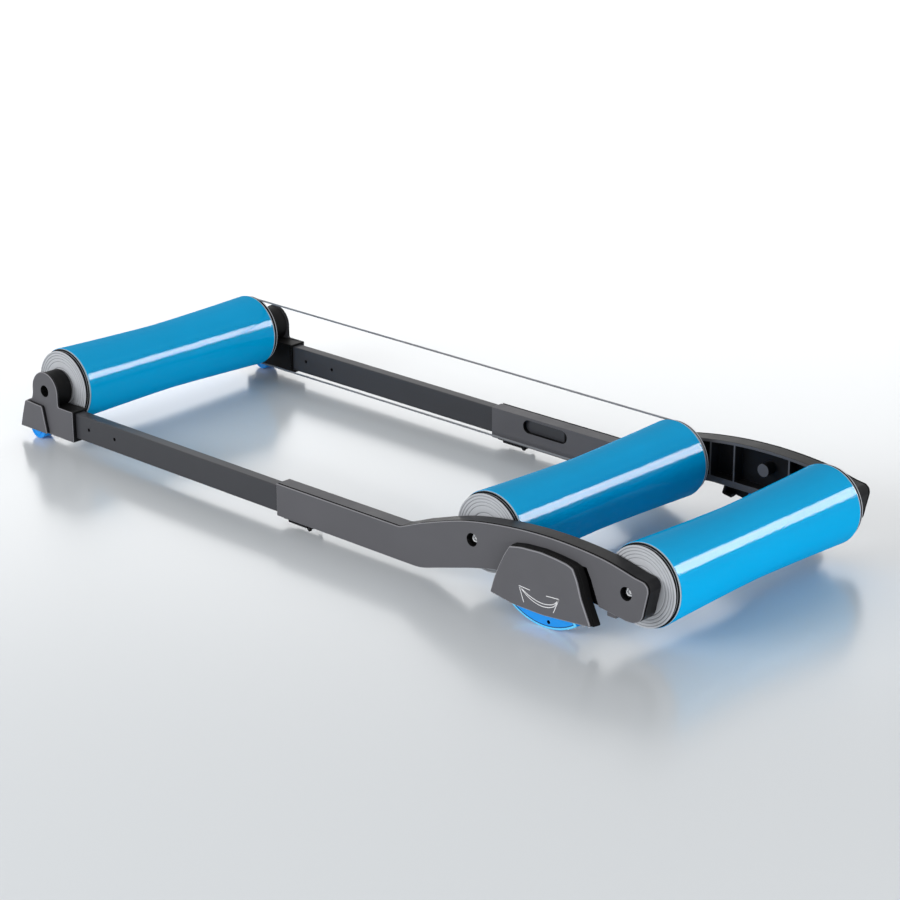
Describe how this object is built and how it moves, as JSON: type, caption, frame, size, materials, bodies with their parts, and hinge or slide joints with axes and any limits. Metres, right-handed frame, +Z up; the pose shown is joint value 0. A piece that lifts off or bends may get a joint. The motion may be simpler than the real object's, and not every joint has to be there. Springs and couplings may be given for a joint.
{
  "type": "bike rollers",
  "caption": "Folding bike rollers: waisted rollers in a telescoping frame, joined by a thin belt, on rocking rear feet and small front wheels",
  "frame": {"origin": "on the floor, under the centre of the overall box, midway between the front and rear axles", "axes": "+X from the front roller towards the rear roller, +Y towards the belt side, +Z up"},
  "size_m": [1.219, 0.486, 0.1322],
  "materials": {
    "frame": "satin, fine grain",
    "beams": "satin",
    "covers": "satin, fine grain",
    "rollers": "glossy",
    "feet": "satin",
    "caps": "satin",
    "steel": "bright",
    "belt": "matte",
    "dark": "matte"
  },
  "bodies": {
    "rear_frame": {"left_rear_arm": "frame", "left_rear_cover": "covers", "left_rocker_pin": "steel", "left_lock_pin": "steel", "right_rear_arm": "frame", "right_rear_cover": "covers", "right_rocker_pin": "steel", "right_lock_pin": "steel", "drive_belt": "belt", "rear_axle": "steel", "rear_spacer": "steel", "rear_left_screw": "steel", "rear_right_screw": "steel", "middle_axle": "steel", "middle_spacer": "steel", "middle_left_screw": "steel", "middle_right_screw": "steel"},
    "front_frame": {"left_beam": "beams", "left_beam_plug": "dark", "left_front_bracket": "frame", "left_front_cover": "covers", "left_wheel_pin": "steel", "right_beam": "beams", "right_beam_plug": "dark", "right_front_bracket": "frame", "right_front_cover": "covers", "right_wheel_pin": "steel", "front_axle": "steel", "front_spacer": "steel", "front_left_screw": "steel", "front_right_screw": "steel"},
    "rear_roller": {"rear_drum": "rollers", "rear_left_cap": "caps", "rear_left_bearing": "steel", "rear_right_cap": "caps", "rear_right_bearing": "steel"},
    "middle_roller": {"middle_drum": "rollers", "middle_left_cap": "caps", "middle_left_bearing": "steel", "middle_right_cap": "caps", "middle_right_bearing": "steel"},
    "front_roller": {"front_drum": "rollers", "front_left_cap": "caps", "front_left_bearing": "steel", "front_right_cap": "caps", "front_right_bearing": "steel"},
    "left_foot": {"left_rocker": "feet"},
    "left_wheel": {"left_front_wheel": "feet"},
    "left_lock": {"left_lock_lever": "dark", "left_lock_spring": "steel"},
    "right_foot": {"right_rocker": "feet"},
    "right_wheel": {"right_front_wheel": "feet"},
    "right_lock": {"right_lock_lever": "dark", "right_lock_spring": "steel"}
  },
  "joints": [
    {"name": "front_slide", "type": "slide", "parent": "rear_frame", "child": "front_frame", "axis": [1, 0, 0], "range_m": [-0.09, 0.395], "deforming": ["drive_belt"]},
    {"name": "rear_spin", "type": "hinge", "parent": "rear_frame", "child": "rear_roller", "pos_m": [0.5545, 0, 0.0772], "axis": [0, 1, 0], "continuous": true},
    {"name": "middle_spin", "type": "hinge", "parent": "rear_frame", "child": "middle_roller", "pos_m": [0.3015, 0, 0.0772], "axis": [0, 1, 0], "continuous": true},
    {"name": "front_spin", "type": "hinge", "parent": "front_frame", "child": "front_roller", "pos_m": [-0.5545, 0, 0.0772], "axis": [0, 1, 0], "continuous": true},
    {"name": "left_rock", "type": "hinge", "parent": "rear_frame", "child": "left_foot", "pos_m": [0.4325, -0.2345, 0.08593], "axis": [0, 1, 0], "range_deg": [-10, 10]},
    {"name": "right_rock", "type": "hinge", "parent": "rear_frame", "child": "right_foot", "pos_m": [0.4325, 0.2345, 0.08593], "axis": [0, 1, 0], "range_deg": [-10, 10]},
    {"name": "left_wheel_spin", "type": "hinge", "parent": "front_frame", "child": "left_wheel", "pos_m": [-0.5735, -0.2245, 0.01679], "axis": [0, 1, 0], "continuous": true},
    {"name": "right_wheel_spin", "type": "hinge", "parent": "front_frame", "child": "right_wheel", "pos_m": [-0.5735, 0.2245, 0.01679], "axis": [0, 1, 0], "continuous": true},
    {"name": "left_unlock", "type": "hinge", "parent": "rear_frame", "child": "left_lock", "pos_m": [-0.0005, -0.2155, 0.0092], "axis": [0, -1, 0], "range_deg": [0, 5.5], "stiffness_Nm_per_rad": 0.08, "springref_deg": -11.46},
    {"name": "right_unlock", "type": "hinge", "parent": "rear_frame", "child": "right_lock", "pos_m": [-0.0005, 0.2155, 0.0092], "axis": [0, -1, 0], "range_deg": [0, 5.5], "stiffness_Nm_per_rad": 0.08, "springref_deg": -11.46}
  ],
  "couplings": [
    {"joint": "front_spin", "follows": "middle_spin", "ratio": 1}
  ]
}
